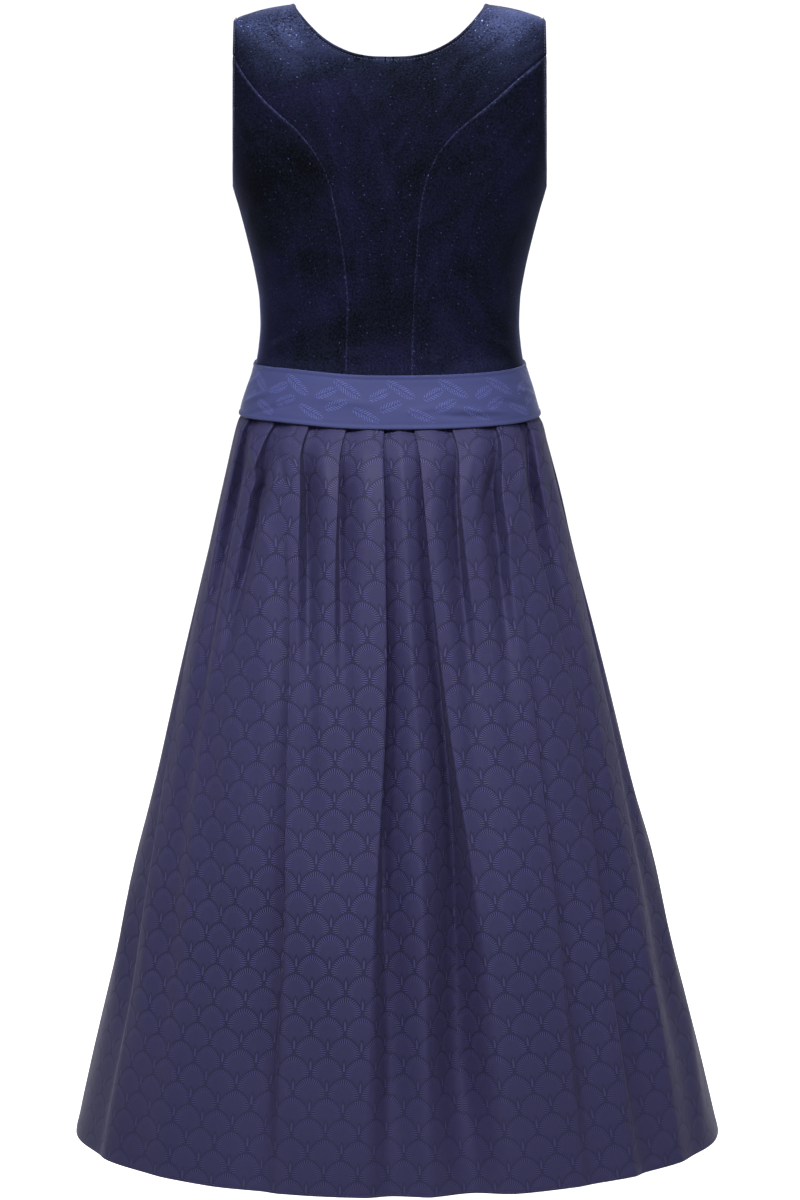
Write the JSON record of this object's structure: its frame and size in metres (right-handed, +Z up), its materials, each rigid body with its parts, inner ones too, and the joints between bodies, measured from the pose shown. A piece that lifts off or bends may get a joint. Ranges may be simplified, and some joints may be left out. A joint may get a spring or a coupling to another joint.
{
  "type": "dirndl dress",
  "caption": "Sleeveless dirndl, hollow as worn: princess-seamed velvet bodice, round neck, sash at the waist and a long pleated skirt flaring to the hem.",
  "frame": {"origin": "between the two neck points, where the wearer's shoulders carry the garment", "axes": "+Z up the garment, +Y to its front, -Y to its back, X across the shoulders"},
  "size_m": [0.6884, 0.4899, 1.198],
  "materials": {
    "velvet": "cotton velvet, dark blue, short pile with a pale sheen at grazing angles",
    "sash_cloth": "woven band, mid blue, leaf pattern in its own colour, soft satin lustre",
    "skirt_cloth": "jacquard, slate blue, fan pattern in its own colour, low lustre"
  },
  "bodies": {
    "root": {"bodice_centre_back": "velvet", "bodice_side_back_left": "velvet", "bodice_side_back_right": "velvet", "bodice_side_front_left": "velvet", "bodice_side_front_right": "velvet", "bodice_centre_front_left": "velvet", "bodice_centre_front_right": "velvet", "sash": "sash_cloth", "skirt_back": "skirt_cloth", "skirt_front": "skirt_cloth"}
  },
  "joints": []
}
